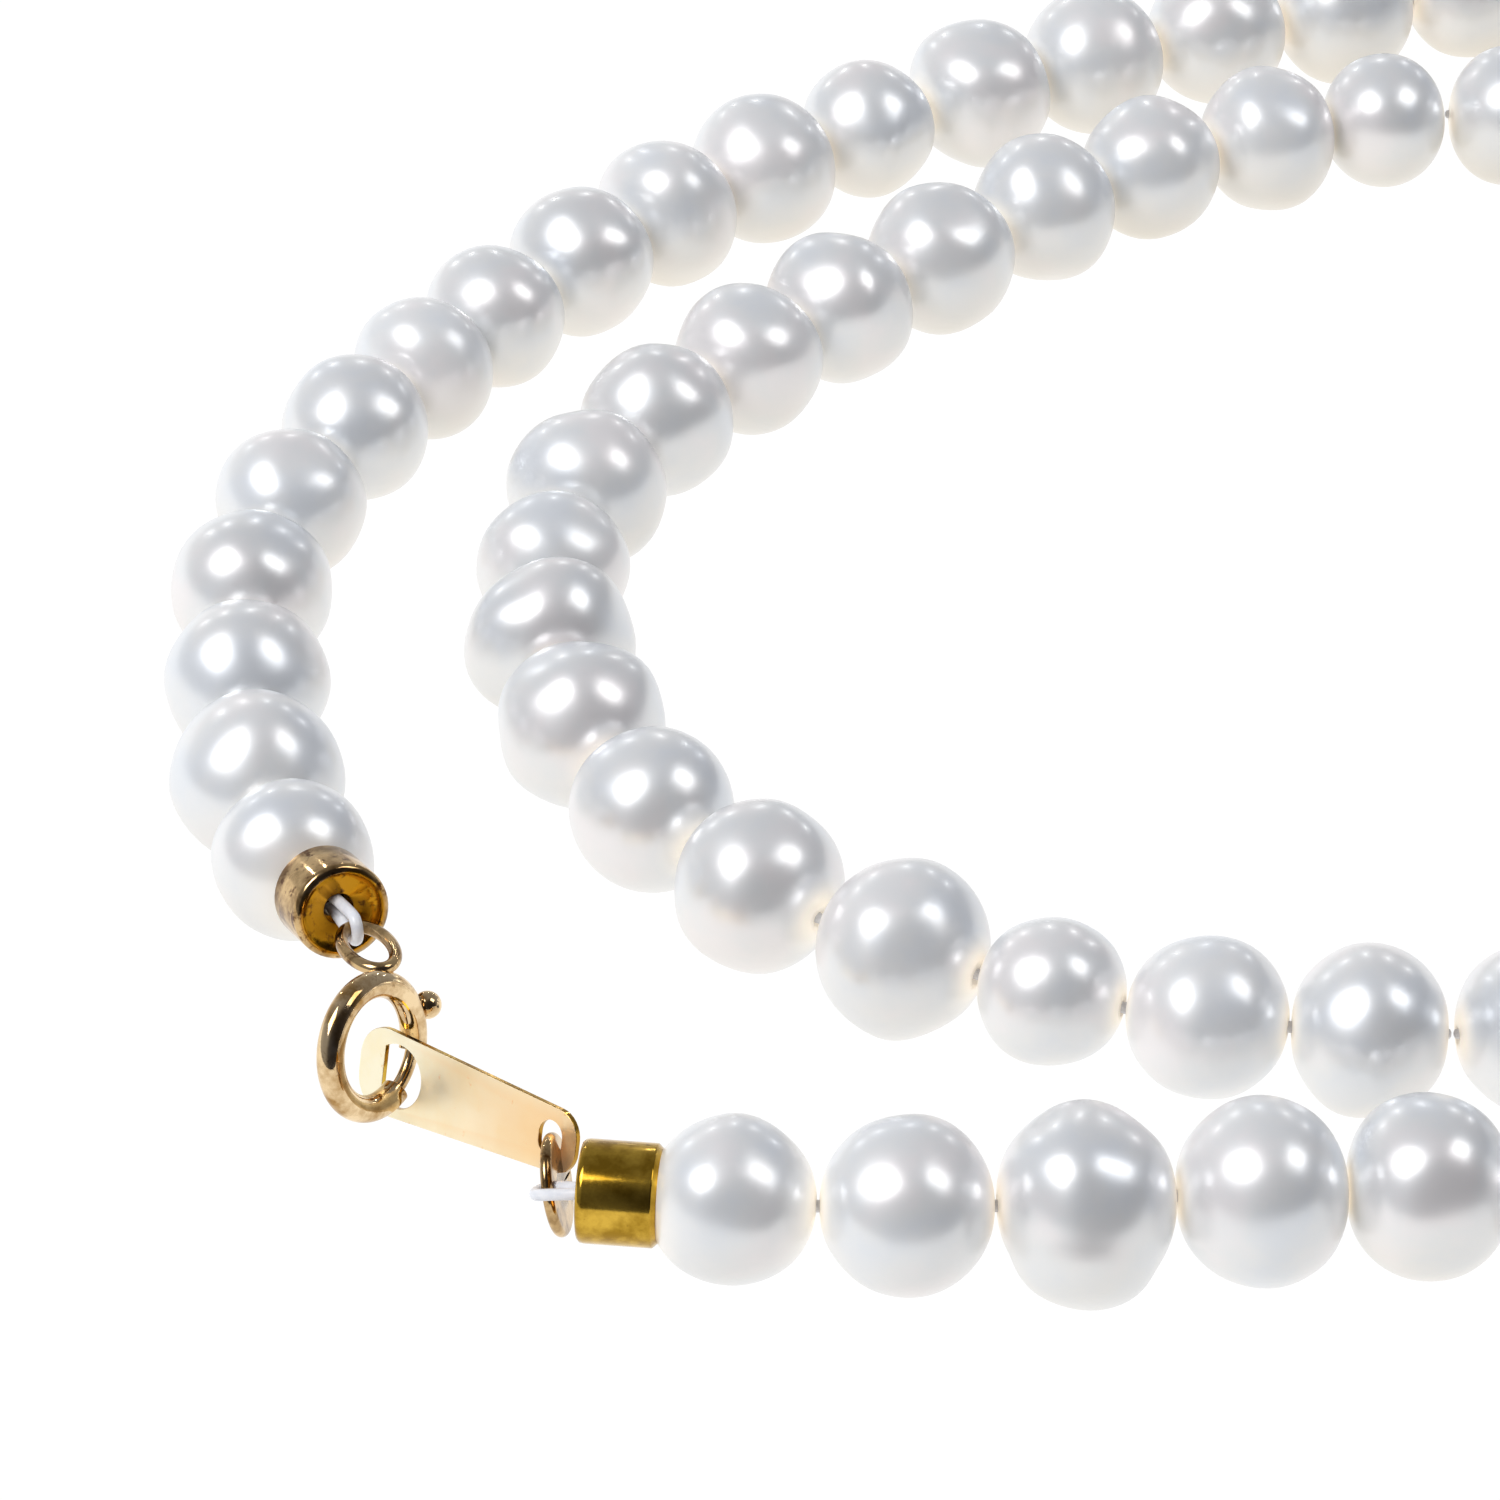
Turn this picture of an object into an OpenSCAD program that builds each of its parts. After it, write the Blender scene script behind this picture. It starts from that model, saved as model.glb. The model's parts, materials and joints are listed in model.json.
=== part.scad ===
// Pearl necklace laid on a table as a closed, doubled-back crescent, fastened by a spring ring and a
// tag plate. Millimetres, +Z up, origin on the table under the middle of the layout. The pearls are
// counted along the thread from end cap A, round the outer row, the back turn, the inner row, the
// front turn and the bottom row to end cap B.

/* [Strand] */
// Height of the thread above the table
thread_height = 3.85; // [3.85:0.05:4.5]
// Thread thickness
thread_diameter = 0.5; // [0.3:0.05:0.6]
// Hole drilled through each pearl
drill_diameter = 0.8; // [0.6:0.05:1]
// Least gap between neighbouring pearls
seat_gap = 0.06; // [0.04:0.01:0.2]
// Largest bend of a strand joint beyond its rest bend, in degrees
strand_swing = 15; // [5:1:20]
// Gap at the place where the closed strand is opened for the joints
open_gap = 1; // [0.5:0.1:2]

/* [Spring ring] */
// Outer diameter of the spring ring
ring_diameter = 6.3; // [5:0.1:8]
// Diameter of the ring's tube
tube_diameter = 1.14; // [0.9:0.02:1.4]
// Bore of the ring's tube
tube_bore = 0.72; // [0.5:0.02:0.9]
// Diameter of the trigger wire
trigger_diameter = 0.58; // [0.4:0.02:0.8]
// Angle through which the trigger draws back
trigger_travel = 30; // [20:1:32]
// Wire of the eye on the spring ring
eye_wire = 0.55; // [0.4:0.05:0.7]
// Length of the eye, outside
eye_length = 4.4; // [3:0.1:5]
// Width of the eye, outside
eye_width = 2.5; // [2:0.1:3]

/* [Tag plate] */
// Thickness of the plate
plate_thickness = 0.25; // [0.2:0.05:0.5]
// Half width at the hook end
plate_wide = 1.85; // [1.5:0.05:2.5]
// Half width at the jump ring end
plate_narrow = 1.35; // [1:0.05:2]
// Outer diameter of the jump ring
jump_ring_diameter = 4.2; // [3.5:0.1:5]
// Wire of the jump ring
jump_ring_wire = 0.44; // [0.3:0.02:0.6]

/* [End caps] */
// Outer diameter of an end cap
cap_diameter = 4.15; // [3.5:0.05:5]
// Length of an end cap
cap_length = 2.9; // [2.5:0.1:3.5]
// Wall of an end cap
cap_wall = 0.3; // [0.2:0.05:0.5]
// Hole for the thread loop
cap_hole = 1.3; // [1.1:0.05:1.6]
// Length of the crimp bead hidden in an end cap
crimp_length = 0.9; // [0.6:0.1:1.2]

/* [Hidden] */
$fn = 48;
gold = [0.80, 0.62, 0.34];
steel = [0.7, 0.7, 0.7];
nacre = [0.93, 0.91, 0.88];
nylon = [0.9, 0.9, 0.9];
sides = 8;
steps = 12;
h = thread_height;

// The strand's route over the table, from end cap A to end cap B.
route = [
    [-44.5, -31.3, 4.85], [-47.4, -24.6, h],
    [-48.9, -13.9, h], [-49.2, -4.6, h], [-45.2, 6.5, h], [-38.7, 17.1, h], [-30.7, 26.7, h],
    [-20.8, 35.2, h], [-8.2, 42.7, h], [5.2, 48.1, h],
    [15.4, 51.3, h], [24.5, 56, h], [34.5, 59, h], [44, 56, h], [49, 47, h], [46.5, 37, h],
    [37.5, 31.3, h], [27.1, 32.8, h], [16.6, 36.5, h],
    [6.3, 36.3, h], [-6.2, 31.5, h], [-17, 22.3, h], [-26.6, 12.9, h], [-34.1, 2.1, h],
    [-35.7, -8.6, h], [-33.8, -18.8, h], [-26.3, -29.7, h], [-14.2, -36.9, h], [-1, -39.5, h],
    [10.5, -38.8, h], [20.5, -35, h], [30.5, -31.2, h], [41, -33.5, h], [47.5, -42.5, h],
    [46, -53, h], [37.5, -59, h], [27, -57.5, h], [17.5, -52, h], [7.5, -49.3, h],
    [-6.2, -49.6, h], [-20.2, -50.6, h], [-30.6, -49.8, h],
];

// Each row's pearls in order, as [length along the thread, diameter]. The hidden turns repeat a few sizes.
outer_row = [
    [6.3, 7.0], [7.6, 7.7], [7.4, 7.4], [7.3, 7.4], [7.1, 7.1], [7.0, 7.0], [5.4, 7.1], [6.3, 7.1],
    [6.9, 7.4], [5.9, 7.7], [7.2, 7.6], [6.7, 7.1], [7.0, 7.7], [7.1, 7.7], [7.4, 7.4], [7.5, 7.6],
];
inner_row = [
    [6.4, 6.9], [6.6, 7.5], [7.2, 7.2], [6.9, 7.5], [7.4, 7.5], [6.5, 7.5], [6.7, 7.4], [7.3, 7.3],
    [6.7, 7.7], [6.5, 7.1], [5.8, 7.7], [7.4, 7.5], [7.2, 7.2], [7.2, 7.4], [7.4, 7.5], [6.3, 6.3],
    [6.8, 6.9], [6.6, 7.2],
];
bottom_row = [[6.6, 7.6], [6.8, 7.6], [7.1, 7.7], [7.0, 7.2], [6.8, 6.8]];
turn_diameters = [7.2, 7.4, 7.1, 7.3, 7.5];
back_turn_count = 14;
front_turn_count = 16;
strand_start = 0.1;
inner_row_start = 209;

// The pearls of each strand segment, as [first, last], and the segment that opens the loop ends before
// pearl open_pearl.
segments = [
    [0, 3], [4, 7], [8, 11], [12, 15], [16, 19], [20, 22], [23, 25], [26, 29], [30, 33],
    [34, 38], [39, 43], [44, 47], [48, 51], [52, 55], [56, 59], [60, 63], [64, 68],
];
open_pearl = 23;

function unit(v) = v / norm(v);
function sum(list, count) = count == 0 ? 0 : list[count - 1] + sum(list, count - 1);
function across(v, axis) = unit(v - (v * axis) * axis);

// A smooth curve through the route's points.
function route_at(i) =
    i < 0 ? 2 * route[0] - route[1]
    : i >= len(route) ? 2 * route[len(route) - 1] - route[len(route) - 2]
    : route[i];
function spline(a, b, c, d, t) =
    0.5 * (2 * b + (c - a) * t + (2 * a - 5 * b + 4 * c - d) * t * t + (3 * b - a - 3 * c + d) * t * t * t);
curve = [
    for (i = [0 : len(route) - 2], k = [0 : steps - 1])
        spline(route_at(i - 1), route_at(i), route_at(i + 1), route_at(i + 2), k / steps),
    route[len(route) - 1],
];
function running(i, total, out) =
    i == len(curve) ? out
    : let (next = total + norm(curve[i] - curve[i - 1])) running(i + 1, next, concat(out, [next]));
lengths = running(1, 0, [0]);
xs = [for (i = [0 : len(curve) - 1]) [lengths[i], curve[i][0]]];
ys = [for (i = [0 : len(curve) - 1]) [lengths[i], curve[i][1]]];
zs = [for (i = [0 : len(curve) - 1]) [lengths[i], curve[i][2]]];
function along(s) = [lookup(s, xs), lookup(s, ys), lookup(s, zs)];

// Pivots: where the thread passes from one pearl to the next.
function pitches(row) = [for (pearl = row) pearl[0]];
function total(row) = sum(pitches(row), len(row));
strand_end = lengths[len(lengths) - 1];
back_pitch = (inner_row_start - strand_start - total(outer_row)) / back_turn_count;
front_pitch = (strand_end - inner_row_start - total(inner_row) - total(bottom_row)) / front_turn_count;
function turn(count, pitch) =
    [for (i = [0 : count - 1]) [pitch, turn_diameters[i % len(turn_diameters)]]];
strand = concat(
    outer_row, turn(back_turn_count, back_pitch), inner_row, turn(front_turn_count, front_pitch), bottom_row
);
pearl_count = len(strand);
pitch_list = pitches(strand);
function stations(i, s, out) =
    i == pearl_count ? out : stations(i + 1, s + pitch_list[i], concat(out, [s + pitch_list[i]]));
pivots = [for (s = stations(0, strand_start, [strand_start])) along(s)];
ways = [for (i = [0 : pearl_count - 1]) unit(pivots[i + 1] - pivots[i])];

// The gap that lets two pearls bend at their pivot without touching.
function is_joint(i) = len([for (s = segments) if (s[0] == i) 1]) > 0;
function gap(i) =
    i == 0 || i == pearl_count ? 0.1
    : i == open_pearl ? open_gap
    : let (
        bend = (acos(ways[i - 1] * ways[i]) + (is_joint(i) ? strand_swing : 0)) / 2,
        half = max(strand[i - 1][0], strand[i][0]) / 2,
        shoulder = max(strand[i - 1][1] - strand[i - 1][0], strand[i][1] - strand[i][0], 0) / 2 + 0.15
    )
    2 * ((half + shoulder * sin(bend) + seat_gap / 2) / cos(bend) - half);
gaps = [for (i = [0 : pearl_count]) gap(i)];

// Clasp layout. End cap A is lifted by the spring ring's eye; end cap B lies level.
cap_a_hole = [-43.4, -33.75, 5.65];
cap_b_hole = [-33.3, -49.5, h];
cap_a_way = unit(cap_a_hole - pivots[0]);
cap_b_way = unit(cap_b_hole - pivots[pearl_count]);
ring_centre = [-41.85, -40.5, 3.9];
ring_up = unit([0.16, 0.57, 0.8]);
ring_side = across([0.58, 0.6, -0.55], ring_up);
ring_front = cross(ring_side, ring_up);
ring_radius = (ring_diameter - tube_diameter) / 2;
ring_top = ring_centre + ring_up * ring_diameter / 2;
eye_way = unit(cap_a_hole - ring_top);
eye_side = across([1, 0, 0], eye_way);
eye_centre = ring_top + eye_way * (eye_length / 2 - 0.15);
eye_far_wire = ring_top + eye_way * (eye_length - eye_wire / 2 - 0.15);
jump_ring_centre = [-34.2, -47.1, 2.12];
jump_ring_back = unit([0.07, 1, 0]);
jump_ring_up = across([-0.2, 0, 1], jump_ring_back);
jump_ring_side = cross(jump_ring_back, jump_ring_up);
jump_ring_radius = (jump_ring_diameter - jump_ring_wire) / 2;
jump_ring_hook = jump_ring_centre + jump_ring_radius * across(cap_b_hole - jump_ring_centre, jump_ring_side);
jump_ring_hook_way = cross(jump_ring_side, unit(jump_ring_hook - jump_ring_centre));
plate_hook = [-40.9, -39.9, 1.9];
plate_small = jump_ring_centre + jump_ring_radius * (cos(36) * jump_ring_back + sin(36) * jump_ring_up);
plate_way = unit(plate_small - plate_hook);
plate_reach = norm(plate_small - plate_hook);
plate_lean = 20;
plate_steep = across([0, 0, 1], plate_way);
plate_up = cos(plate_lean) * plate_steep + sin(plate_lean) * cross(plate_steep, plate_way);

// Angles round the spring ring, from ring_side towards ring_up.
gap_top = 0;
gap_bottom = -41;
trigger_tip = -46;
trigger_tail = 45;
tab_angle = 31.5;
slot_start = 28;
slot_end = tab_angle + trigger_travel + 3.5;
spring_start = 46;
spring_end = 150;
stop_angle = 152;

// Puts a child's X, Y and Z along three directions that are square to each other.
module facing(place, x_way, y_way) {
    z_way = cross(x_way, y_way);
    multmatrix([
        [x_way[0], y_way[0], z_way[0], place[0]],
        [x_way[1], y_way[1], z_way[1], place[1]],
        [x_way[2], y_way[2], z_way[2], place[2]],
        [0, 0, 0, 1],
    ]) children();
}

// Puts a child's Z along a direction.
module pointing(place, z_way, side) {
    x_way = across(side, z_way);
    facing(place, x_way, cross(z_way, x_way)) children();
}

// A round wire along a path: one ring of points a path point, with the rings' upper points towards up[i].
module wire(path, radii, up) {
    last = len(path) - 1;
    function way(i) = unit(path[min(i + 1, last)] - path[max(i - 1, 0)]);
    function ring(i) =
        let (v = across(up[i], way(i)), u = cross(way(i), v))
        [for (k = [0 : sides - 1]) path[i] + radii[i] * (cos(360 * k / sides) * v + sin(360 * k / sides) * u)];
    points = [for (i = [0 : last]) each ring(i)];
    walls = [
        for (i = [0 : last - 1], k = [0 : sides - 1])
            [
                i * sides + k, i * sides + (k + 1) % sides,
                (i + 1) * sides + (k + 1) % sides, (i + 1) * sides + k,
            ],
    ];
    start = [for (k = [0 : sides - 1]) sides - 1 - k];
    end = [for (k = [0 : sides - 1]) last * sides + k];
    polyhedron(points, [for (f = concat(walls, [start, end])) [for (k = [len(f) - 1 : -1 : 0]) f[k]]]);
}

// A closed wire ring: an ellipse in the plane of two directions.
module closed_wire(centre, x_way, y_way, x_radius, y_radius, radius, count = 40) {
    path = [
        for (i = [0 : count - 1])
            centre + x_radius * cos(360 * i / count) * x_way + y_radius * sin(360 * i / count) * y_way,
    ];
    z_way = cross(x_way, y_way);
    function way(i) = unit(path[(i + 1) % count] - path[(i + count - 1) % count]);
    function ring(i) =
        let (u = cross(way(i), z_way))
        [for (k = [0 : sides - 1]) path[i] + radius * (cos(360 * k / sides) * z_way + sin(360 * k / sides) * u)];
    points = [for (i = [0 : count - 1]) each ring(i)];
    walls = [
        for (i = [0 : count - 1], k = [0 : sides - 1])
            [
                i * sides + k, ((i + 1) % count) * sides + k,
                ((i + 1) % count) * sides + (k + 1) % sides, i * sides + (k + 1) % sides,
            ],
    ];
    polyhedron(points, walls);
}

// A pearl, turned about its drill hole: flatter along the thread than across it.
module pearl(i) {
    length = norm(pivots[i + 1] - pivots[i]) - (gaps[i] + gaps[i + 1]) / 2;
    middle = (pivots[i] + pivots[i + 1] + ways[i] * (gaps[i] - gaps[i + 1]) / 2) / 2;
    diameter = strand[i][1];
    pointing(middle, ways[i], [0, 0, 1])
        rotate_extrude()
            difference() {
                translate([(diameter - length) / 2, 0]) circle(d = length);
                translate([-diameter, -diameter]) square([diameter + drill_diameter / 2, 2 * diameter]);
            }
}

module pearls(segment) {
    color(nacre)
        for (i = [segments[segment][0] : segments[segment][1]]) pearl(i);
}

// The thread through one segment's pearls, with rounded ends just short of the segment's pivots.
module thread(segment) {
    first = segments[segment][0];
    last = segments[segment][1] + 1;
    radius = thread_diameter / 2;
    ends = [[0.05, 0.4], [0.11, 0.8], [0.3, 1]];
    from = [for (e = ends) pivots[first] + e[0] * ways[first]];
    to = [for (e = [ends[2], ends[1], ends[0]]) pivots[last] - e[0] * ways[last - 1]];
    path = concat(from, [for (i = [first + 1 : 1 : last - 1]) pivots[i]], to);
    shares = concat(
        [for (e = ends) e[1]], [for (i = [first + 1 : 1 : last - 1]) 1], [ends[2][1], ends[1][1], ends[0][1]]
    );
    color(nylon) wire(path, radius * shares, [for (p = path) [0, 0, 1]]);
}

// An end cap: an open cup over the first pearl, with a dished end and a hole for the thread loop.
module cap(place, way) {
    outer = cap_diameter / 2;
    foot = 0.2;
    bevel = 0.3;
    rim = 0.07;
    dish = 0.5;
    pointing(place, way, [0, 0, 1])
        rotate_extrude()
            polygon([
                [outer - cap_wall, 0],
                [outer - foot, 0],
                [outer, foot],
                [outer, cap_length - bevel],
                [outer - bevel * 0.1, cap_length - bevel * 0.45],
                [outer - bevel * 0.45, cap_length - bevel * 0.1],
                [outer - bevel, cap_length],
                [outer - bevel - rim, cap_length],
                [cap_hole / 2, cap_length - dish],
                [cap_hole / 2, cap_length - dish - cap_wall],
                [outer - cap_wall - 0.3, cap_length - dish - cap_wall],
                [outer - cap_wall, cap_length - dish - cap_wall - 0.3],
            ]);
}

// The crimp bead that grips the thread loop inside an end cap.
crimp_start = 0.75;
module crimp_bead(place, way) {
    color(steel)
        pointing(place + way * crimp_start, way, [0, 0, 1])
            rotate_extrude()
                translate([thread_diameter + 0.08, 0])
                    square([0.3, crimp_length]);
}

// The strand's end: it comes out of the pearl, runs through the crimp bead, out of the cap's hole, round
// a wire at hook and back into the bead.
module thread_loop(start, mouth, way, hook, hook_radius, turned) {
    radius = thread_diameter / 2;
    leg = radius + 0.03;
    mouth_leg = cap_hole / 2 - radius - 0.04;
    side = across(turned, way);
    out = unit(hook - mouth);
    out_side = across(side, out);
    reach = hook_radius + radius + 0.04;
    arc = [
        for (a = [-90 : 22.5 : 90])
            hook + reach * (cos(a) * out + sin(a) * out_side),
    ];
    path = concat(
        [start + 0.05 * way, start + 0.12 * way, start + 0.3 * way, start + (crimp_start - 0.2) * way],
        [start + (crimp_start + 0.1) * way - leg * side, mouth - 0.4 * way - mouth_leg * side],
        arc,
        [mouth - 0.4 * way + mouth_leg * side, start + (crimp_start + 0.2) * way + leg * side]
    );
    shares = [for (i = [0 : len(path) - 1]) i == 0 ? 0.4 : i == 1 ? 0.8 : 1];
    plane = cross(way, side);
    color(nylon) wire(path, radius * shares, [for (p = path) plane]);
}

module arc_rod(from, to, diameter) {
    rotate([0, 0, from])
        rotate_extrude(angle = to - from)
            translate([ring_radius, 0]) circle(d = diameter);
}

// The spring ring's hollow tube, with its mouth, the trigger's slot and the coil's stop.
module spring_ring_tube() {
    slot_width = 0.34;
    color(gold)
        facing(ring_centre, ring_side, ring_up)
            difference() {
                arc_rod(gap_top, gap_bottom + 360, tube_diameter);
                arc_rod(gap_top - 5, stop_angle, tube_bore);
                arc_rod(stop_angle + 4, gap_bottom + 365, tube_bore);
                rotate([0, 0, slot_start])
                    rotate_extrude(angle = slot_end - slot_start)
                        translate([ring_radius + tube_bore / 4, -slot_width / 2])
                            square([tube_diameter, slot_width]);
            }
}

// The sliding wire that closes the ring's mouth, with its thumb tab.
module spring_ring_trigger() {
    neck = 0.24;
    ball = 0.82;
    reach = (tube_diameter + ball) / 2 + 0.06;
    color(gold)
        facing(ring_centre, ring_side, ring_up) {
            arc_rod(trigger_tip, trigger_tail, trigger_diameter);
            rotate([0, 0, tab_angle]) {
                translate([ring_radius, 0, 0]) rotate([0, 90, 0]) cylinder(d = neck, h = reach);
                translate([ring_radius + reach, 0, 0]) sphere(d = ball);
            }
        }
}

// The coil inside the tube that pushes the trigger shut.
module spring_ring_coil() {
    turns = 8;
    points_a_turn = 9;
    coil_wire = 0.1;
    coil_radius = tube_bore / 2 - coil_wire / 2 - 0.04;
    count = turns * points_a_turn;
    function spin(i) = 360 * i / points_a_turn;
    function round_ring(i) = spring_start + 0.6 + (spring_end - spring_start - 1.2) * i / count;
    function out(i) = cos(round_ring(i)) * ring_side + sin(round_ring(i)) * ring_up;
    function off(i) = cos(spin(i)) * out(i) + sin(spin(i)) * ring_front;
    path = [for (i = [0 : count]) ring_centre + ring_radius * out(i) + coil_radius * off(i)];
    color(steel) wire(path, [for (p = path) coil_wire / 2], [for (i = [0 : count]) off(i)]);
}

// The eye soldered to the top of the spring ring.
module eye_ring() {
    color(gold)
        closed_wire(
            eye_centre, eye_way, eye_side, (eye_length - eye_wire) / 2, (eye_width - eye_wire) / 2, eye_wire / 2
        );
}

function corner(x, y, radius, from, to) =
    [for (k = [0 : 8]) let (a = from + (to - from) * k / 8) [x + radius * cos(a), y + radius * sin(a)]];

// The flat tag that the spring ring hooks into: a large hole for the ring and a small one for the jump
// ring.
module tag_plate() {
    wide_corner = 1.45;
    narrow_corner = 1.1;
    left = -0.65;
    right = plate_reach + 0.15;
    taper = atan((plate_wide - plate_narrow) / (right - left));
    outline = concat(
        corner(right, narrow_corner - plate_narrow, narrow_corner, taper - 90, 0),
        corner(right, plate_narrow - narrow_corner, narrow_corner, 0, 90 - taper),
        corner(left, plate_wide - wide_corner, wide_corner, 90 - taper, 180),
        corner(left, wide_corner - plate_wide, wide_corner, 180, 270 + taper)
    );
    color(gold)
        facing(plate_hook, plate_way, plate_up)
            translate([0, 0, -plate_thickness / 2])
                linear_extrude(plate_thickness)
                    difference() {
                        polygon(outline);
                        intersection() {
                            translate([0.05, 0]) circle(r = 1.35);
                            translate([-0.75, -2]) square([4, 4]);
                        }
                        translate([plate_reach - 0.15, 0.15]) circle(r = 0.62);
                        translate([plate_reach - 0.15, -0.15]) circle(r = 0.62);
                        translate([plate_reach - 0.77, -0.15]) square([1.24, 0.3]);
                    }
}

module jump_ring() {
    color(gold)
        pointing(jump_ring_centre, jump_ring_side, jump_ring_up)
            rotate_extrude()
                translate([jump_ring_radius, 0]) circle(d = jump_ring_wire);
}

// End cap B sits a little way over its pearl. End cap A is bent away from its own, so it stops short.
cap_a_gap = 0.12;
cap_b_overlap = 0.3;
module cap_a() {
    color(gold) cap(pivots[0] + cap_a_gap * cap_a_way, cap_a_way);
}
module cap_b() {
    color(gold) cap(pivots[pearl_count] - cap_b_overlap * cap_b_way, cap_b_way);
}
module crimp_bead_a() { crimp_bead(pivots[0], cap_a_way); }
module crimp_bead_b() { crimp_bead(pivots[pearl_count], cap_b_way); }
module thread_loop_a() {
    thread_loop(
        pivots[0], cap_a_hole, cap_a_way, eye_far_wire, eye_wire / 2, cross(eye_way, eye_side)
    );
}
module thread_loop_b() {
    thread_loop(
        pivots[pearl_count], cap_b_hole, cap_b_way, jump_ring_hook, jump_ring_wire / 2,
        cross(jump_ring_hook - cap_b_hole, jump_ring_hook_way)
    );
}

cap_a();
cap_b();
crimp_bead_a();
crimp_bead_b();
thread_loop_a();
thread_loop_b();
spring_ring_tube();
spring_ring_trigger();
spring_ring_coil();
eye_ring();
tag_plate();
jump_ring();
pearls(0);  // pearls_outer_row_1
pearls(1);  // pearls_outer_row_2
pearls(2);  // pearls_outer_row_3
pearls(3);  // pearls_outer_row_4
pearls(4);  // pearls_back_turn_1
pearls(5);  // pearls_back_turn_2
pearls(6);  // pearls_back_turn_3
pearls(7);  // pearls_back_turn_4
pearls(8);  // pearls_inner_row_1
pearls(9);  // pearls_inner_row_2
pearls(10);  // pearls_inner_row_3
pearls(11);  // pearls_inner_row_4
pearls(12);  // pearls_front_turn_1
pearls(13);  // pearls_front_turn_2
pearls(14);  // pearls_front_turn_3
pearls(15);  // pearls_front_turn_4
pearls(16);  // pearls_bottom_row
thread(0);  // thread_outer_row_1
thread(1);  // thread_outer_row_2
thread(2);  // thread_outer_row_3
thread(3);  // thread_outer_row_4
thread(4);  // thread_back_turn_1
thread(5);  // thread_back_turn_2
thread(6);  // thread_back_turn_3
thread(7);  // thread_back_turn_4
thread(8);  // thread_inner_row_1
thread(9);  // thread_inner_row_2
thread(10);  // thread_inner_row_3
thread(11);  // thread_inner_row_4
thread(12);  // thread_front_turn_1
thread(13);  // thread_front_turn_2
thread(14);  // thread_front_turn_3
thread(15);  // thread_front_turn_4
thread(16);  // thread_bottom_row
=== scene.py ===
"""The looks of the pearl necklace: pearls, gilt clasp, thread, studio light and camera."""
import json
import math

import bmesh
import bpy
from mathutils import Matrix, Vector, noise


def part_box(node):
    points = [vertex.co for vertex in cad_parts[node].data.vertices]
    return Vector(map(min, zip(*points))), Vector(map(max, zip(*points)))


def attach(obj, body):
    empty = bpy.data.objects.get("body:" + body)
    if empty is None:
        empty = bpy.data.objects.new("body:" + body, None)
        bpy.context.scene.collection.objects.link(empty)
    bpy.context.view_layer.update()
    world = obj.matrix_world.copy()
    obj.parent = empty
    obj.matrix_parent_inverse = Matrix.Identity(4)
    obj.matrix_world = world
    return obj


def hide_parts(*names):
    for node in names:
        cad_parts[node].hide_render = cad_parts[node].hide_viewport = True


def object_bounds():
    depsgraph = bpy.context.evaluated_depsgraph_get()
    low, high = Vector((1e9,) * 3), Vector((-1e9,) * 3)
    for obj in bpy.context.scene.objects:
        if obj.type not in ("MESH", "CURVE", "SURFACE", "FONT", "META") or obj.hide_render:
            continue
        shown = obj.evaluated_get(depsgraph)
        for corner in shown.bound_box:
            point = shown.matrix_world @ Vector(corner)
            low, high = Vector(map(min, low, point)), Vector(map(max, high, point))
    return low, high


MM = 0.001
MERGE = 1e-7

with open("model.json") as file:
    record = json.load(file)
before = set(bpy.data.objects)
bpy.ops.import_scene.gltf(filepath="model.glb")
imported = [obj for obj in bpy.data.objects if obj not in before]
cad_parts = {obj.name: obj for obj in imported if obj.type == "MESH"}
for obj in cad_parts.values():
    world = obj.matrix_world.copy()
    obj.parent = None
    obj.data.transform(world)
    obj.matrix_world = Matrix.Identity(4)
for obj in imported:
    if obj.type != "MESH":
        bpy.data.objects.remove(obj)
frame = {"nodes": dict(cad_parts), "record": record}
cad_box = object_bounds()
NODES = frame["nodes"]
BODIES = frame["record"]["behaviour"]["bodies"]
JOINTS = {j["name"]: j for j in frame["record"]["behaviour"]["joints"]}


# --- Camera, floor and light ---------------------------------------------------------------------

CAMERA_PITCH = math.radians(35.57)
CAMERA_PLACE = Vector((-26.5, -221.5, 148.15)) * MM


def add_camera():
    data = bpy.data.cameras.new("camera")
    data.sensor_width = 36
    data.lens = 136.5
    data.clip_start = 0.01
    camera = bpy.data.objects.new("camera", data)
    camera.location = CAMERA_PLACE
    camera.rotation_euler = (math.pi / 2 - CAMERA_PITCH, 0, 0)
    bpy.context.scene.collection.objects.link(camera)
    bpy.context.scene.camera = camera


def new_material(name):
    """A material and its node tree, with a Principled shader in it."""
    material = bpy.data.materials.new(name)
    material.use_nodes = True
    tree = material.node_tree
    return material, tree, tree.nodes["Principled BSDF"]


def add_floor():
    """A white sheet that glows as evenly as an overexposed sweep."""
    mesh = bpy.data.meshes.new("floor")
    reach = 3
    corners = [(-reach, -reach, 0), (reach, -reach, 0), (reach, reach, 0), (-reach, reach, 0)]
    mesh.from_pydata(corners, [], [(0, 1, 2, 3)])
    floor = bpy.data.objects.new("floor", mesh)
    floor.location.z = -0.05 * MM
    bpy.context.scene.collection.objects.link(floor)
    material, tree, shader = new_material("floor")
    glow = tree.nodes.new("ShaderNodeEmission")
    glow.inputs["Color"].default_value = (1, 1, 1, 1)
    glow.inputs["Strength"].default_value = 1.04
    tree.links.new(glow.outputs[0], tree.nodes["Material Output"].inputs["Surface"])
    tree.nodes.remove(shader)
    mesh.materials.append(material)


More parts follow.
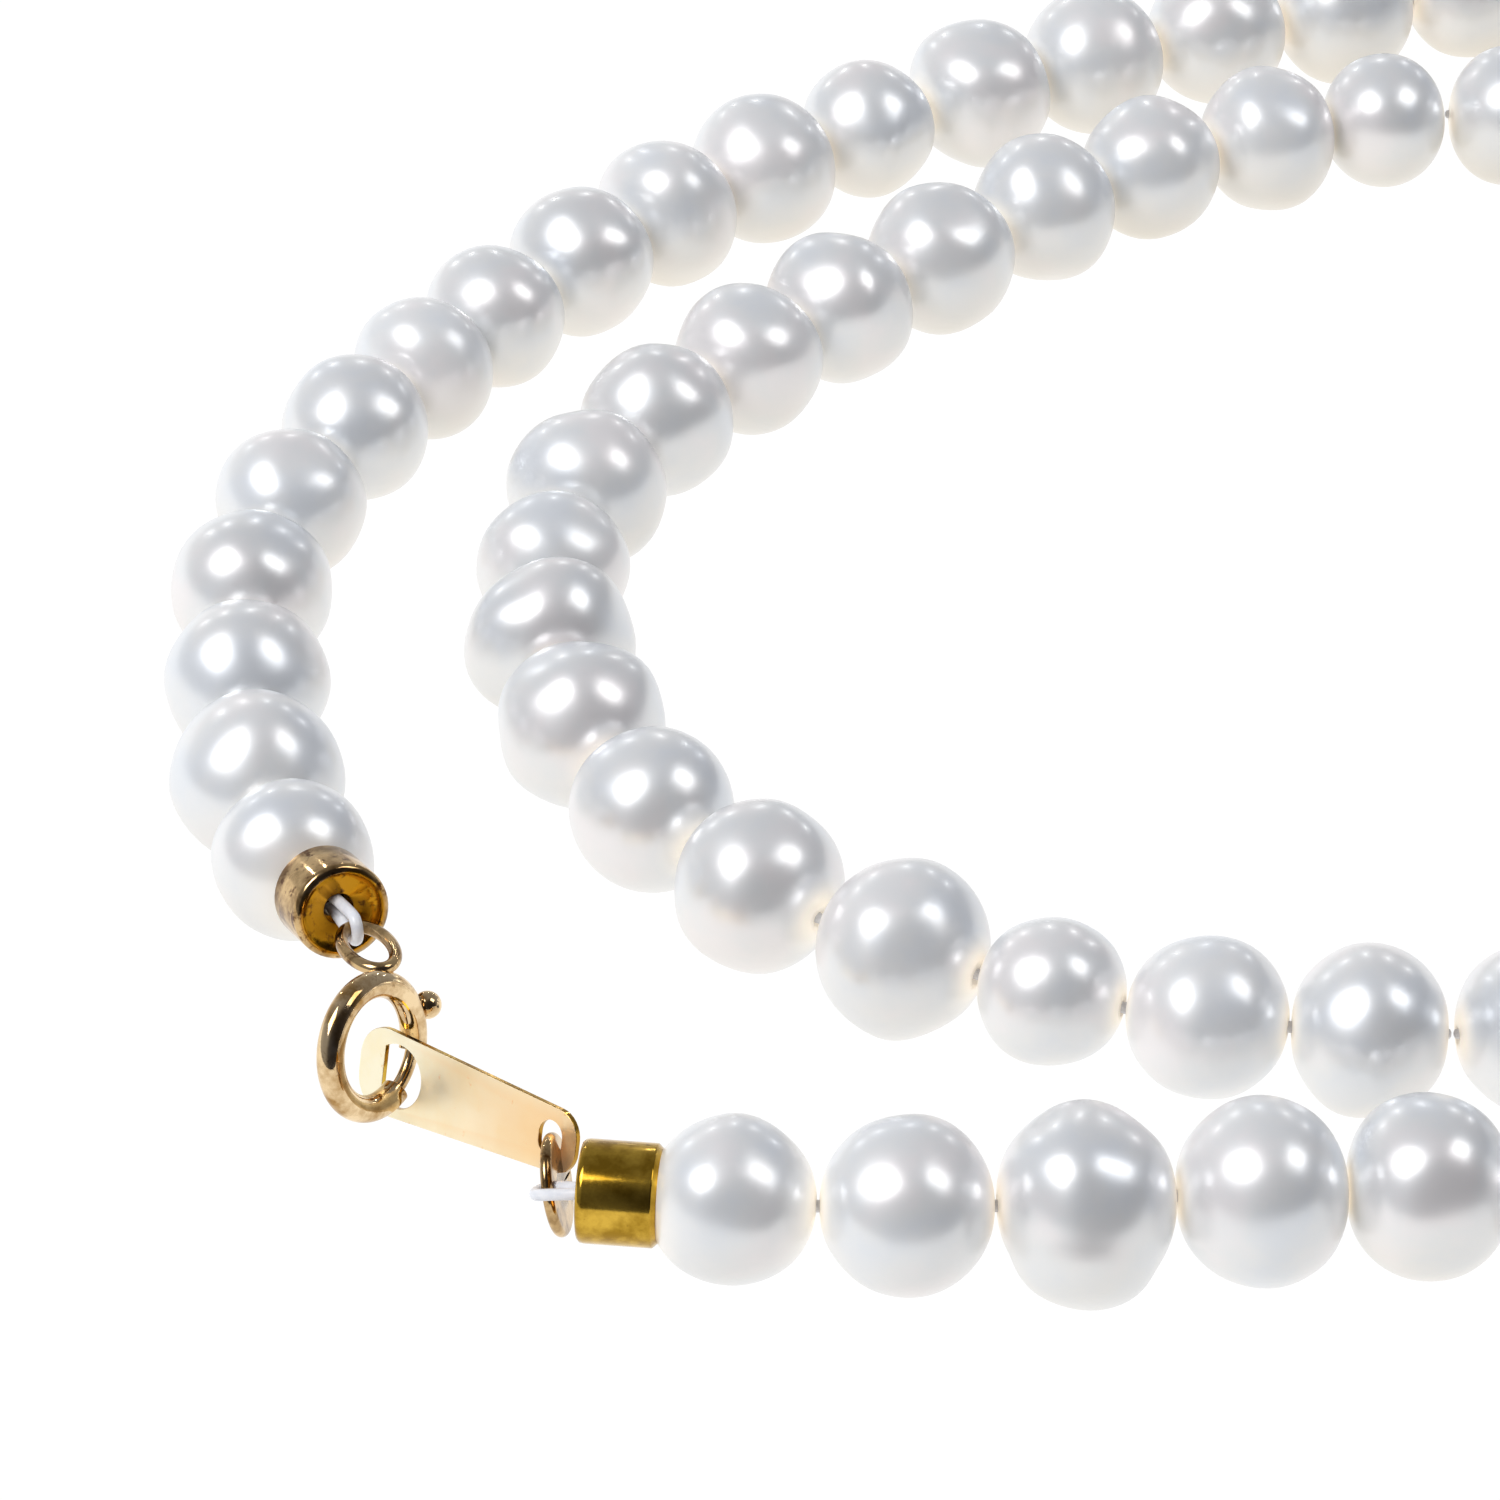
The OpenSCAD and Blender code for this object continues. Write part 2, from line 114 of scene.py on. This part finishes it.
def add_world():
    """A studio round the table: light low behind and at the left, dim overhead, dark at the camera's side.

    A direction's brightness goes by how near it is to the bright way, from -1 away from it to 1 along it.
    """
    bright_way = Vector((-0.45, 0.80, -0.38)).normalized()
    stops = [
        (-1.0, (0.03, 0.03, 0.04)),
        (-0.75, (0.06, 0.06, 0.07)),
        (-0.45, (0.26, 0.265, 0.285)),
        (0.1, (0.29, 0.295, 0.32)),
        (0.5, (0.37, 0.375, 0.39)),
        (0.8, (0.60, 0.60, 0.60)),
    ]
    world = bpy.data.worlds.new("studio")
    world.use_nodes = True
    tree = world.node_tree
    coordinates = tree.nodes.new("ShaderNodeTexCoord")
    dot = tree.nodes.new("ShaderNodeVectorMath")
    dot.operation = "DOT_PRODUCT"
    dot.inputs[1].default_value = bright_way
    tree.links.new(coordinates.outputs["Generated"], dot.inputs[0])
    spread = tree.nodes.new("ShaderNodeMapRange")
    spread.inputs["From Min"].default_value = -1
    tree.links.new(dot.outputs["Value"], spread.inputs["Value"])
    ramp = tree.nodes.new("ShaderNodeValToRGB")
    elements = ramp.color_ramp.elements
    while len(elements) < len(stops):
        elements.new(0.5)
    for element, (place, colour) in zip(elements, stops):
        element.position = (place + 1) / 2
        element.color = (*colour, 1)
    tree.links.new(spread.outputs["Result"], ramp.inputs["Fac"])
    tree.links.new(ramp.outputs["Color"], tree.nodes["Background"].inputs["Color"])
    bpy.context.scene.world = world


def add_softbox(name, direction, distance, width, height, watts):
    """An area light that faces the middle of the strand."""
    data = bpy.data.lights.new(name, "AREA")
    data.shape = "RECTANGLE"
    data.size = width
    data.size_y = height
    data.energy = watts
    light = bpy.data.objects.new(name, data)
    way = Vector(direction).normalized()
    target = Vector((-10, -10, 0)) * MM
    light.location = target + way * distance
    light.rotation_euler = way.to_track_quat("Z", "Y").to_euler()
    bpy.context.scene.collection.objects.link(light)


def add_lights():
    """Two softboxes overhead, and a row of small lamps low behind that sparkles along the pearls' rims."""
    key_way = (-0.56, -0.24, 0.80)
    add_softbox("key", key_way, 0.7, 0.19, 0.19, 1.5)
    add_softbox("key_halo", key_way, 0.72, 0.38, 0.38, 1.75)
    add_softbox("fill", (0.60, -0.08, 0.79), 0.7, 0.26, 0.34, 1.0)
    for number in range(5):
        add_softbox(f"lamp_{number}", (0.35 * (number - 2), 0.93, 0.36), 0.9, 0.02, 0.02, 0.1)


# --- Mesh tools ----------------------------------------------------------------------------------


def mesh_object(name, points, faces, smooth=True):
    mesh = bpy.data.meshes.new(name)
    mesh.from_pydata(points, [], faces)
    mesh.polygons.foreach_set("use_smooth", [smooth] * len(faces))
    mesh.update()
    obj = bpy.data.objects.new(name, mesh)
    bpy.context.scene.collection.objects.link(obj)
    return obj


def square_axes(way):
    """Two directions square to a way and to each other."""
    side = way.orthogonal().normalized()
    return side, way.cross(side).normalized()


def loose_pieces(node):
    """The corners of each separate solid of a CAD node, in the row frame."""
    source = NODES[node]
    bm = bmesh.new()
    bm.from_mesh(source.data)
    bm.transform(source.matrix_world)
    bmesh.ops.remove_doubles(bm, verts=bm.verts, dist=MERGE)
    left = set(bm.verts)
    found = []
    while left:
        stack = [left.pop()]
        piece = []
        while stack:
            vert = stack.pop()
            piece.append(vert.co.copy())
            for edge in vert.link_edges:
                other = edge.other_vert(vert)
                if other in left:
                    left.remove(other)
                    stack.append(other)
        found.append(piece)
    bm.free()
    return found


def middle_of(points):
    low = Vector([min(p[k] for p in points) for k in range(3)])
    high = Vector([max(p[k] for p in points) for k in range(3)])
    return (low + high) / 2


def refined(node, bevel, segments=3, angle=40):
    """A copy of a CAD node with rounded edges and smooth curves, which stands for it.

    Edges that turn by more than the angle, in degrees, stay crisp and take the bevel.
    """
    source = NODES[node]
    flat = math.radians(0.5)
    crisp = math.radians(angle)
    mesh = source.data.copy()
    mesh.materials.clear()
    piece = bpy.data.objects.new(node + "_shown", mesh)
    piece.matrix_world = source.matrix_world
    bpy.context.scene.collection.objects.link(piece)
    bm = bmesh.new()
    bm.from_mesh(mesh)
    bmesh.ops.remove_doubles(bm, verts=bm.verts, dist=MERGE)
    bmesh.ops.dissolve_limit(bm, angle_limit=flat, verts=bm.verts, edges=bm.edges)
    for face in bm.faces:
        face.smooth = True
    for edge in bm.edges:
        edge.smooth = edge.calc_face_angle(0) < crisp
    bm.to_mesh(mesh)
    bm.free()
    if bevel:
        edges = piece.modifiers.new("edges", "BEVEL")
        edges.width = bevel
        edges.segments = segments
        edges.limit_method = "ANGLE"
        edges.angle_limit = crisp
    return piece


def smoothed(node, swell):
    """A copy of a swept CAD wire, made round and smooth.

    Swell makes up for what the smoothing takes off.
    """
    piece = refined(node, 0, angle=180)
    side_bend = math.radians(35)
    bm = bmesh.new()
    bm.from_mesh(piece.data)
    bmesh.ops.join_triangles(
        bm, faces=bm.faces, angle_face_threshold=side_bend, angle_shape_threshold=math.pi
    )
    bm.to_mesh(piece.data)
    bm.free()
    curve = piece.modifiers.new("curve", "SUBSURF")
    curve.levels = 2
    curve.render_levels = 2
    thicken = piece.modifiers.new("thicken", "DISPLACE")
    thicken.strength = swell
    thicken.mid_level = 0
    return piece


# --- Materials -----------------------------------------------------------------------------------


class Shader:
    """Short calls for a procedural material's nodes, in object space."""

    def __init__(self, name):
        self.material, self.tree, self.principled = new_material(name)
        coordinates = self.tree.nodes.new("ShaderNodeTexCoord")
        self.place = coordinates.outputs["Object"]

    def link(self, output, socket):
        self.tree.links.new(output, socket)

    def noise(self, scale, detail=3, roughness=0.5):
        node = self.tree.nodes.new("ShaderNodeTexNoise")
        node.inputs["Scale"].default_value = scale
        node.inputs["Detail"].default_value = detail
        node.inputs["Roughness"].default_value = roughness
        self.link(self.place, node.inputs["Vector"])
        return node.outputs["Fac"]

    def ramp(self, factor, stops):
        """A colour ramp. Each stop is (position, colour)."""
        node = self.tree.nodes.new("ShaderNodeValToRGB")
        elements = node.color_ramp.elements
        while len(elements) < len(stops):
            elements.new(0.5)
        for element, (position, colour) in zip(elements, stops):
            element.position = position
            element.color = (*colour, 1)
        self.link(factor, node.inputs["Fac"])
        return node.outputs["Color"]

    def mix(self, factor, first, second):
        """Blends two colours, each an output or a colour."""
        node = self.tree.nodes.new("ShaderNodeMix")
        node.data_type = "RGBA"
        self.link(factor, node.inputs[0])
        for colour, socket in ((first, node.inputs[6]), (second, node.inputs[7])):
            if isinstance(colour, tuple):
                socket.default_value = (*colour, 1)
            else:
                self.link(colour, socket)
        return node.outputs[2]

    def scaled(self, value, low, high):
        """A 0 to 1 output brought to a range."""
        node = self.tree.nodes.new("ShaderNodeMapRange")
        node.inputs["To Min"].default_value = low
        node.inputs["To Max"].default_value = high
        self.link(value, node.inputs["Value"])
        return node.outputs["Result"]

    def attribute(self, name):
        node = self.tree.nodes.new("ShaderNodeAttribute")
        node.attribute_name = name
        return node

    def bump(self, height, distance, strength=1.0, normal=None):
        node = self.tree.nodes.new("ShaderNodeBump")
        node.inputs["Distance"].default_value = distance
        node.inputs["Strength"].default_value = strength
        self.link(height, node.inputs["Height"])
        if normal is not None:
            self.link(normal, node.inputs["Normal"])
        return node.outputs["Normal"]

    def set(self, **values):
        """Sets the Principled shader's sockets, by name with _ for a space, to outputs or constants."""
        for name, value in values.items():
            socket = self.principled.inputs[name.replace("_", " ")]
            if isinstance(value, (int, float, tuple)):
                socket.default_value = value
            else:
                self.link(value, socket)


def nacre_material():
    """Nacre: part milky, part mirror-like, so that the room shows softly in it.

    The mesh says how warm it is ("tint"): partly the pearl's own cream, partly a painted warm reflection on
    its underside. It also says how mirror-like it is ("shine") and how near the drilled ends ("end"), where
    a painted glow, a lighter base colour and an emission, stands in for light that has come through the
    pearl.
    """
    shader = Shader("nacre")
    clouds = shader.noise(260, 4)
    blush = shader.noise(150, 2)
    tint = shader.attribute("tint").outputs["Fac"]
    end = shader.attribute("end").outputs["Fac"]
    cool = shader.ramp(
        clouds, [(0.35, (0.82, 0.85, 0.89)), (0.5, (0.87, 0.88, 0.89)), (0.65, (0.92, 0.895, 0.90))]
    )
    warm = shader.ramp(blush, [(0.35, (0.79, 0.70, 0.54)), (0.65, (0.84, 0.77, 0.65))])
    # The warm colour where "tint" is high is partly the pearl's own cream and partly a painted warm
    # reflection on the underside.
    colour = shader.mix(tint, cool, warm)
    ripples = shader.bump(shader.noise(420, 2), 0.02 * MM, 0.5)
    # Painted glow near the drilled ends ("end"): the base colour goes to a light cream and an emission is
    # added.
    shader.set(
        Base_Color=shader.mix(end, colour, (0.96, 0.91, 0.82)),
        Metallic=shader.attribute("shine").outputs["Fac"],
        Roughness=shader.scaled(shader.noise(500, 2), 0.28, 0.35),
        IOR=1.6,
        Normal=ripples,
        Coat_Weight=0.2,
        Coat_Roughness=0.13,
        Coat_IOR=1.5,
        Emission_Color=(1.0, 0.89, 0.74, 1.0),
        Emission_Strength=shader.scaled(end, 0, 0.3),
    )
    return shader.material


def gold_material(name, light, dark, roughness, stain, stain_share, patina=None, glow=0):
    """Gilt metal with tarnish clouds and fine wear.

    A patina colour tints where the mesh says "patina". Glow is painted light: an emission in the metal's
    own colour that stands in for the reflection of the softbox in a flat face.
    """
    shader = Shader(name)
    clouds = shader.noise(700, 5, 0.6)
    base = shader.ramp(clouds, [(0.36, dark), (0.6, light)])
    if patina is not None:
        base = shader.mix(shader.attribute("patina").outputs["Fac"], base, patina)
    black = (0, 0, 0)
    white = (1, 1, 1)
    specks = shader.noise(1500, 4, 0.7)
    spots = shader.ramp(specks, [(1 - stain_share, black), (1.1 - stain_share, white)])
    colour = shader.mix(spots, base, stain)
    grain = shader.bump(shader.noise(3500, 3, 0.6), 0.004 * MM, 0.5)
    normal = shader.bump(shader.noise(500, 2), 0.03 * MM, 0.3, grain)
    shader.set(
        Base_Color=colour,
        Metallic=1.0,
        Roughness=shader.scaled(shader.noise(900, 3), roughness * 0.7, roughness * 1.4),
        Normal=normal,
        Emission_Color=colour,
        Emission_Strength=glow,
    )
    return shader.material


def thread_material(name, dark, light, roughness):
    """White coated thread with faint fibres."""
    shader = Shader(name)
    fibres = shader.noise(2600, 4, 0.7)
    shader.set(
        Base_Color=shader.ramp(fibres, [(0.35, dark), (0.7, light)]),
        Roughness=roughness,
        Normal=shader.bump(fibres, 0.01 * MM, 0.4),
    )
    return shader.material


# --- Pearls --------------------------------------------------------------------------------------

PEARL_NODES = [
    f"pearls_{part}_{number}"
    for part, count in (("outer_row", 4), ("back_turn", 4), ("inner_row", 4), ("front_turn", 4))
    for number in range(1, count + 1)
] + ["pearls_bottom_row"]
DRILL = 0.4 * MM
# Pearls with a lump, counted from end cap A: the way that it points, its height and how broad it is.
LUMPS = {
    66: ((-0.08, -0.80, -0.6), 0.5 * MM, 0.42),
    43: ((-0.3, -0.8, -0.4), 0.15 * MM, 0.6),
    44: ((-0.4, -0.7, -0.4), 0.12 * MM, 0.6),
    12: ((0.5, -0.7, -0.3), 0.2 * MM, 0.5),
    8: ((0.6, -0.6, 0.1), 0.15 * MM, 0.6),
}


def body_of(node):
    return next(body for body, nodes in BODIES.items() if node in nodes)


def strand_order():
    """Every pearl's middle, corners and node, in order along the strand from end cap A."""
    left = [(middle_of(points), points, node) for node in PEARL_NODES for points in loose_pieces(node)]
    here = middle_of([Vector(corner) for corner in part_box("cap_a")])
    order = []
    while left:
        nearest = min(left, key=lambda pearl: (pearl[0] - here).length)
        left.remove(nearest)
        order.append(nearest)
        here = nearest[0]
    return order


def pearl_shape(points, way):
    """A pearl's middle, drilled way, half length and radius, from its CAD corners."""
    middle = middle_of(points)
    offsets = [p - middle for p in points]
    rims = [o for o in offsets if (o - o.dot(way) * way).length < 1.5 * DRILL]
    ahead = [o for o in rims if o.dot(way) > 0]
    behind = [o for o in rims if o.dot(way) < 0]
    front = sum(ahead, Vector()) / len(ahead)
    back = sum(behind, Vector()) / len(behind)
    way = (front - back).normalized()
    middle = middle + (front + back) / 2
    along = [(p - middle).dot(way) for p in points]
    across = [((p - middle) - (p - middle).dot(way) * way).length for p in points]
    return middle, way, max(along), max(across)


def bulge(number, direction):
    """How far a pearl stands out in a direction, where it has a drop-like lump."""
    if number not in LUMPS:
        return 0
    way, height, breadth = LUMPS[number]
    share = max(0, direction.dot(Vector(way).normalized()) - 1 + breadth) / breadth
    return height * share * share * (3 - 2 * share)


def cream_and_warm_reflection_share(point, seed):
    """How warm a pearl is, partly its own cream and partly painted warm reflection: more towards the back
    of the layout, and a little by chance.
    """
    back = 0.5 + (point.y - middle_of(cad_box).y) / (cad_box[1].y - cad_box[0].y)
    return 0.2 + 0.8 * back + 0.35 * noise.noise(seed * 0.37)


def ring_faces(rows, columns):
    """Faces of a tube of rows of points that closes on itself both ways."""
    faces = []
    for row in range(rows):
        below = row * columns
        above = ((row + 1) % rows) * columns
        for column in range(columns):
            after = (column + 1) % columns
            faces.append((below + column, below + after, above + after, above + column))
    return faces


def pearl(number, glow, middle, way, half, radius, material):
    """A drilled pearl, slightly uneven, with a lump on a few.

    Glow is how far from the middle of each end the painted glow reaches, as a share of the radius: there
    the base colour is lightened and an emission added, in place of light that comes through the pearl.
    """
    rows = 41
    columns = 64
    shoulder = radius - half
    reach = math.acos(max(-1, min(1, (DRILL - shoulder) / half)))
    side, other = square_axes(way)
    seed = Vector((number * 7.3, number * 3.1, number * 1.7))
    unevenness = 0.06 + 0.04 * noise.noise(seed * 0.61)
    cream_and_warm_reflection = cream_and_warm_reflection_share(middle, seed)
    mirror = 0.5 - 0.2 * cream_and_warm_reflection - 0.25 * noise.noise(seed * 0.53)
    points = []
    tints = []
    shines = []
    ends = []
    for row in range(rows):
        angle = reach * (2 * row / (rows - 1) - 1)
        out = shoulder + half * math.cos(angle)
        along = half * math.sin(angle)
        for column in range(columns):
            turn = 2 * math.pi * column / columns
            spoke = math.cos(turn) * side + math.sin(turn) * other
            point = out * spoke + along * way
            direction = point.normalized()
            uneven = noise.noise(direction * 1.2 + seed) - 0.15
            share = min(1, max(0, (out / radius - 0.2) / 0.5))
            swell = out * unevenness * uneven * share
            point += swell * spoke + bulge(number, direction) * direction
            place = middle + point
            place.z = max(place.z, 0)
            points.append(place)
            # Painted warm reflection: the tint lies on the underside and fades out towards the top.
            tints.append(min(1, max(0, cream_and_warm_reflection * (0.35 - 0.75 * direction.z))))
            # Painted glow near each drilled end, where the nacre is also made less mirror-like.
            end = max(0, 1 - out / (glow * radius))
            shines.append(mirror * (1 - 0.7 * end))
            ends.append(end)
    piece = mesh_object(f"pearl_{number + 1:02d}", points, ring_faces(rows, columns))
    for name, values in (("tint", tints), ("shine", shines), ("end", ends)):
        piece.data.attributes.new(name, "FLOAT", "POINT").data.foreach_set("value", values)
    piece.data.materials.append(material)
    return piece


def make_pearls(material):
    order = strand_order()
    for number, (_, points, node) in enumerate(order):
        before = order[max(number - 1, 0)][0]
        after = order[min(number + 1, len(order) - 1)][0]
        # The pearls next to the end caps get a wider painted glow.
        glow = 0.85 if number in (0, len(order) - 1) else 0.5
        piece = pearl(number, glow, *pearl_shape(points, (after - before).normalized()), material)
        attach(piece, body_of(node))
        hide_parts(node)


# --- Clasp ---------------------------------------------------------------------------------------


def end_cap(node, crimp, joint, seat):
    """An end cap, its open end reaching over its pearl by a seat, with its inside marked for the material.

    Its axis runs from the strand's joint through the crimp bead.
    """
    piece = refined(node, 0.14 * MM, segments=4)
    wall = 0.3 * MM
    start = Vector(JOINTS[joint]["pos_m"])
    way = (middle_of([Vector(corner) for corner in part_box(crimp)]) - start).normalized()
    offsets = [piece.matrix_world @ vert.co - start for vert in piece.data.vertices]
    reaches = [(offset - offset.dot(way) * way).length for offset in offsets]
    inside = [float(reach < max(reaches) - wall) for reach in reaches]
    piece.data.attributes.new("patina", "FLOAT", "POINT").data.foreach_set("value", inside)
    for vert, offset in zip(piece.data.vertices, offsets):
        if offset.dot(way) < wall:
            vert.co -= seat * way
    return piece


def tag_plate(node):
    """The tag plate, with an orange tint that fades out within 3 mm of the jump ring's joint."""
    piece = refined(node, 0.03 * MM)
    ring_joint = Vector(JOINTS["tag_plate_on_jump_ring"]["pos_m"])
    size = 3 * MM
    distances = [(piece.matrix_world @ vert.co - ring_joint).length for vert in piece.data.vertices]
    near = [max(0, 1 - distance / size) for distance in distances]
    piece.data.attributes.new("patina", "FLOAT", "POINT").data.foreach_set("value", near)
    return piece


def colour_edges(plate, material):
    """Gives the narrow faces round a plate's outline and holes their own material."""
    mesh = plate.data
    mesh.materials.append(material)
    face_way = max(mesh.polygons, key=lambda face: face.area).normal.copy()
    for face in mesh.polygons:
        face.material_index = int(abs(face.normal.dot(face_way)) < 0.7)


def trigger(node):
    """The trigger, with a fuller knob."""
    piece = refined(node, 0)
    centre = Vector(JOINTS["trigger_draws_back"]["pos_m"])
    knob_start = 3.2 * MM
    growth = 1.45
    verts = piece.data.vertices
    knob = [vert for vert in verts if (piece.matrix_world @ vert.co - centre).length > knob_start]
    middle = middle_of([vert.co for vert in knob])
    for vert in knob:
        vert.co = middle + (vert.co - middle) * growth
    return piece


def make_clasp(gold, stained_gold, pale_gold, tarnished, white_thread):
    cap_a = end_cap("cap_a", "crimp_bead_a", "outer_row_1_in_cap_a", 0.12 * MM)
    cap_b = end_cap("cap_b", "crimp_bead_b", "cap_b_on_bottom_row", 0.3 * MM)
    pieces = {
        "cap_a": (cap_a, stained_gold),
        "cap_b": (cap_b, tarnished),
        "spring_ring_tube": (refined("spring_ring_tube", 0.03 * MM), gold),
        "spring_ring_trigger": (trigger("spring_ring_trigger"), gold),
        "tag_plate": (tag_plate("tag_plate"), pale_gold),
        "eye_ring": (smoothed("eye_ring", 0.03 * MM), stained_gold),
        "jump_ring": (smoothed("jump_ring", 0.02 * MM), stained_gold),
        "thread_loop_a": (smoothed("thread_loop_a", 0.03 * MM), white_thread),
        "thread_loop_b": (smoothed("thread_loop_b", 0.02 * MM), white_thread),
    }
    for node, (piece, material) in pieces.items():
        piece.data.materials.append(material)
        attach(piece, body_of(node))
        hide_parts(node)
    colour_edges(pieces["tag_plate"][0], tarnished)


def paint_carried_over(thread, steel):
    """Gives the CAD nodes that stay as they are their material."""
    for node, obj in NODES.items():
        material = thread if node.startswith("thread") else steel
        if node.startswith("thread") or node.startswith("crimp") or node == "spring_ring_coil":
            obj.data.materials.clear()
            obj.data.materials.append(material)


add_camera()
add_floor()
add_world()
add_lights()
bpy.context.scene.view_settings.view_transform = "Standard"

make_pearls(nacre_material())
make_clasp(
    gold=gold_material(
        "gold", (0.89, 0.68, 0.41), (0.42, 0.24, 0.08), 0.08,
        stain=(0.14, 0.06, 0.02), stain_share=0.36,
    ),
    stained_gold=gold_material(
        "stained_gold", (0.68, 0.47, 0.23), (0.22, 0.12, 0.04), 0.12,
        stain=(0.13, 0.05, 0.01), stain_share=0.45, patina=(0.46, 0.21, 0.01),
    ),
    pale_gold=gold_material(
        "pale_gold", (1.0, 0.93, 0.71), (0.99, 0.89, 0.63), 0.42,
        stain=(0.84, 0.56, 0.25), stain_share=0.36, patina=(0.95, 0.58, 0.24), glow=0.13,
    ),
    tarnished=gold_material(
        "tarnished_gold", (0.68, 0.43, 0.06), (0.34, 0.19, 0.015), 0.13,
        stain=(0.14, 0.06, 0.01), stain_share=0.34, patina=(0.45, 0.22, 0.03),
    ),
    white_thread=thread_material("thread_loops", (0.80, 0.82, 0.88), (0.93, 0.94, 0.97), 0.3),
)
paint_carried_over(
    thread=thread_material("thread", (0.62, 0.64, 0.70), (0.86, 0.87, 0.92), 0.45),
    steel=gold_material(
        "plated_metal", (0.80, 0.76, 0.68), (0.60, 0.56, 0.50), 0.2,
        stain=(0.3, 0.25, 0.2), stain_share=0.2,
    ),
)
